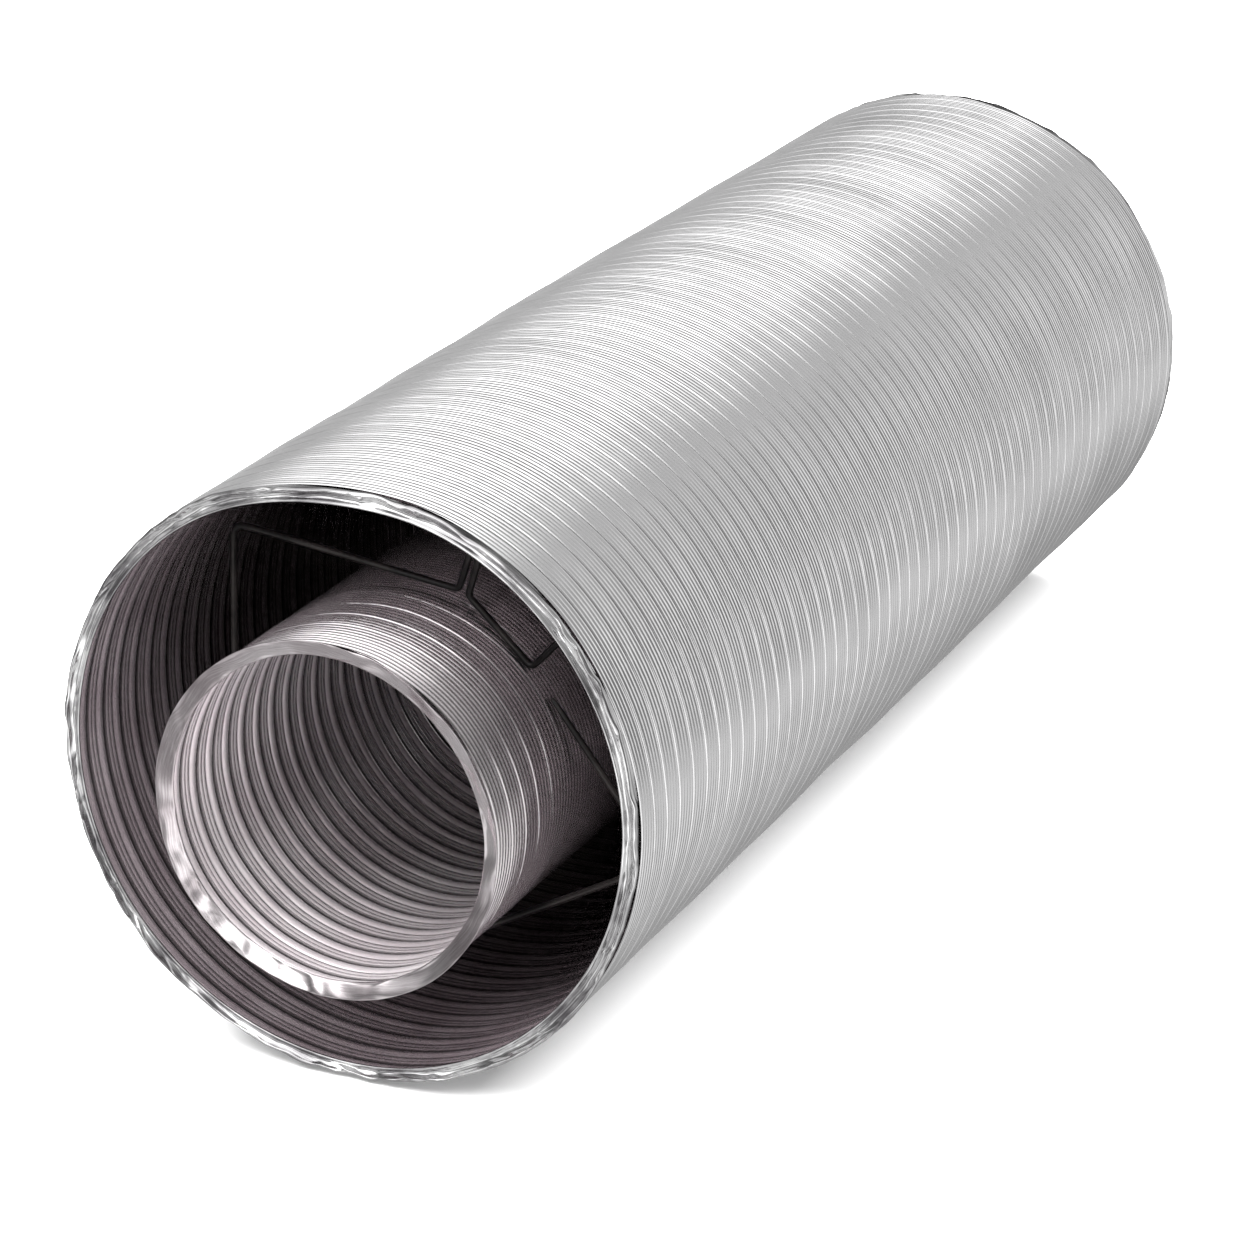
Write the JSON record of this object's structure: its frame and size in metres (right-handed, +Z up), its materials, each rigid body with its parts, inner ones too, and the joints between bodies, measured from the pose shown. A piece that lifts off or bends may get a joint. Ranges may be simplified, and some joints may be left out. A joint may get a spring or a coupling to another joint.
{
  "type": "flexible air duct",
  "caption": "Concentric flexible aluminium air duct: a spiral-wound outer duct around a smaller one held by bent wire spacers.",
  "frame": {"origin": "centre of the bounding box on the floor the duct lies on", "axes": "+Y along the duct from the front mouth, where the inner duct stands out, to the rear; +Z up; +X to the right seen from the front mouth"},
  "size_m": [0.184, 0.5116, 0.184],
  "materials": {
    "outer_aluminium": "bright corrugated foil",
    "inner_aluminium": "bright corrugated foil",
    "spacer_wire_steel": "dark drawn wire"
  },
  "bodies": {
    "section_01": {"outer_duct_section_01": "outer_aluminium", "inner_duct_section_01": "inner_aluminium"},
    "section_02": {"outer_duct_section_02": "outer_aluminium", "inner_duct_section_02": "inner_aluminium", "spacer_wire_front": "spacer_wire_steel"},
    "section_03": {"outer_duct_section_03": "outer_aluminium", "inner_duct_section_03": "inner_aluminium"},
    "section_04": {"outer_duct_section_04": "outer_aluminium", "inner_duct_section_04": "inner_aluminium"},
    "section_05": {"outer_duct_section_05": "outer_aluminium", "inner_duct_section_05": "inner_aluminium"},
    "section_06": {"outer_duct_section_06": "outer_aluminium", "inner_duct_section_06": "inner_aluminium"},
    "section_07": {"outer_duct_section_07": "outer_aluminium", "inner_duct_section_07": "inner_aluminium"},
    "section_08": {"outer_duct_section_08": "outer_aluminium", "inner_duct_section_08": "inner_aluminium"},
    "section_09": {"outer_duct_section_09": "outer_aluminium", "inner_duct_section_09": "inner_aluminium", "spacer_wire_middle": "spacer_wire_steel"},
    "section_10": {"outer_duct_section_10": "outer_aluminium", "inner_duct_section_10": "inner_aluminium"},
    "section_11": {"outer_duct_section_11": "outer_aluminium", "inner_duct_section_11": "inner_aluminium"},
    "section_12": {"outer_duct_section_12": "outer_aluminium", "inner_duct_section_12": "inner_aluminium"},
    "section_13": {"outer_duct_section_13": "outer_aluminium", "inner_duct_section_13": "inner_aluminium"},
    "section_14": {"outer_duct_section_14": "outer_aluminium", "inner_duct_section_14": "inner_aluminium"},
    "section_15": {"outer_duct_section_15": "outer_aluminium", "inner_duct_section_15": "inner_aluminium"},
    "section_16": {"outer_duct_section_16": "outer_aluminium", "inner_duct_section_16": "inner_aluminium", "spacer_wire_rear": "spacer_wire_steel"},
    "section_17": {"outer_duct_section_17": "outer_aluminium", "inner_duct_section_17": "inner_aluminium"}
  },
  "joints": [
    {"name": "stretch_01", "type": "slide", "parent": "section_01", "child": "section_02", "axis": [0, 1, 0], "range_m": [0, 0.0625]},
    {"name": "bend_01", "type": "hinge", "parent": "section_02", "child": "section_03", "pos_m": [-0.092, -0.18518, 0.092], "axis": [0, 0, 1], "range_deg": [0, 11.25]},
    {"name": "stretch_02", "type": "slide", "parent": "section_03", "child": "section_04", "axis": [0, 1, 0], "range_m": [0, 0.0625]},
    {"name": "bend_02", "type": "hinge", "parent": "section_04", "child": "section_05", "pos_m": [-0.092, -0.12635, 0.092], "axis": [0, 0, 1], "range_deg": [0, 11.25]},
    {"name": "stretch_03", "type": "slide", "parent": "section_05", "child": "section_06", "axis": [0, 1, 0], "range_m": [0, 0.0625]},
    {"name": "bend_03", "type": "hinge", "parent": "section_06", "child": "section_07", "pos_m": [-0.092, -0.06753, 0.092], "axis": [0, 0, 1], "range_deg": [0, 11.25]},
    {"name": "stretch_04", "type": "slide", "parent": "section_07", "child": "section_08", "axis": [0, 1, 0], "range_m": [0, 0.0625]},
    {"name": "bend_04", "type": "hinge", "parent": "section_08", "child": "section_09", "pos_m": [-0.092, -0.00871, 0.092], "axis": [0, 0, 1], "range_deg": [0, 11.25]},
    {"name": "stretch_05", "type": "slide", "parent": "section_09", "child": "section_10", "axis": [0, 1, 0], "range_m": [0, 0.0625]},
    {"name": "bend_05", "type": "hinge", "parent": "section_10", "child": "section_11", "pos_m": [-0.092, 0.05012, 0.092], "axis": [0, 0, 1], "range_deg": [0, 11.25]},
    {"name": "stretch_06", "type": "slide", "parent": "section_11", "child": "section_12", "axis": [0, 1, 0], "range_m": [0, 0.0625]},
    {"name": "bend_06", "type": "hinge", "parent": "section_12", "child": "section_13", "pos_m": [-0.092, 0.10894, 0.092], "axis": [0, 0, 1], "range_deg": [0, 11.25]},
    {"name": "stretch_07", "type": "slide", "parent": "section_13", "child": "section_14", "axis": [0, 1, 0], "range_m": [0, 0.0625]},
    {"name": "bend_07", "type": "hinge", "parent": "section_14", "child": "section_15", "pos_m": [-0.092, 0.16776, 0.092], "axis": [0, 0, 1], "range_deg": [0, 11.25]},
    {"name": "stretch_08", "type": "slide", "parent": "section_15", "child": "section_16", "axis": [0, 1, 0], "range_m": [0, 0.0625]},
    {"name": "bend_08", "type": "hinge", "parent": "section_16", "child": "section_17", "pos_m": [-0.092, 0.22659, 0.092], "axis": [0, 0, 1], "range_deg": [0, 11.25]}
  ],
  "couplings": [
    {"joint": "stretch_02", "follows": "stretch_01", "ratio": 1},
    {"joint": "bend_02", "follows": "bend_01", "ratio": 1},
    {"joint": "stretch_03", "follows": "stretch_01", "ratio": 1},
    {"joint": "bend_03", "follows": "bend_01", "ratio": 1},
    {"joint": "stretch_04", "follows": "stretch_01", "ratio": 1},
    {"joint": "bend_04", "follows": "bend_01", "ratio": 1},
    {"joint": "stretch_05", "follows": "stretch_01", "ratio": 1},
    {"joint": "bend_05", "follows": "bend_01", "ratio": 1},
    {"joint": "stretch_06", "follows": "stretch_01", "ratio": 1},
    {"joint": "bend_06", "follows": "bend_01", "ratio": 1},
    {"joint": "stretch_07", "follows": "stretch_01", "ratio": 1},
    {"joint": "bend_07", "follows": "bend_01", "ratio": 1},
    {"joint": "stretch_08", "follows": "stretch_01", "ratio": 1},
    {"joint": "bend_08", "follows": "bend_01", "ratio": 1}
  ]
}
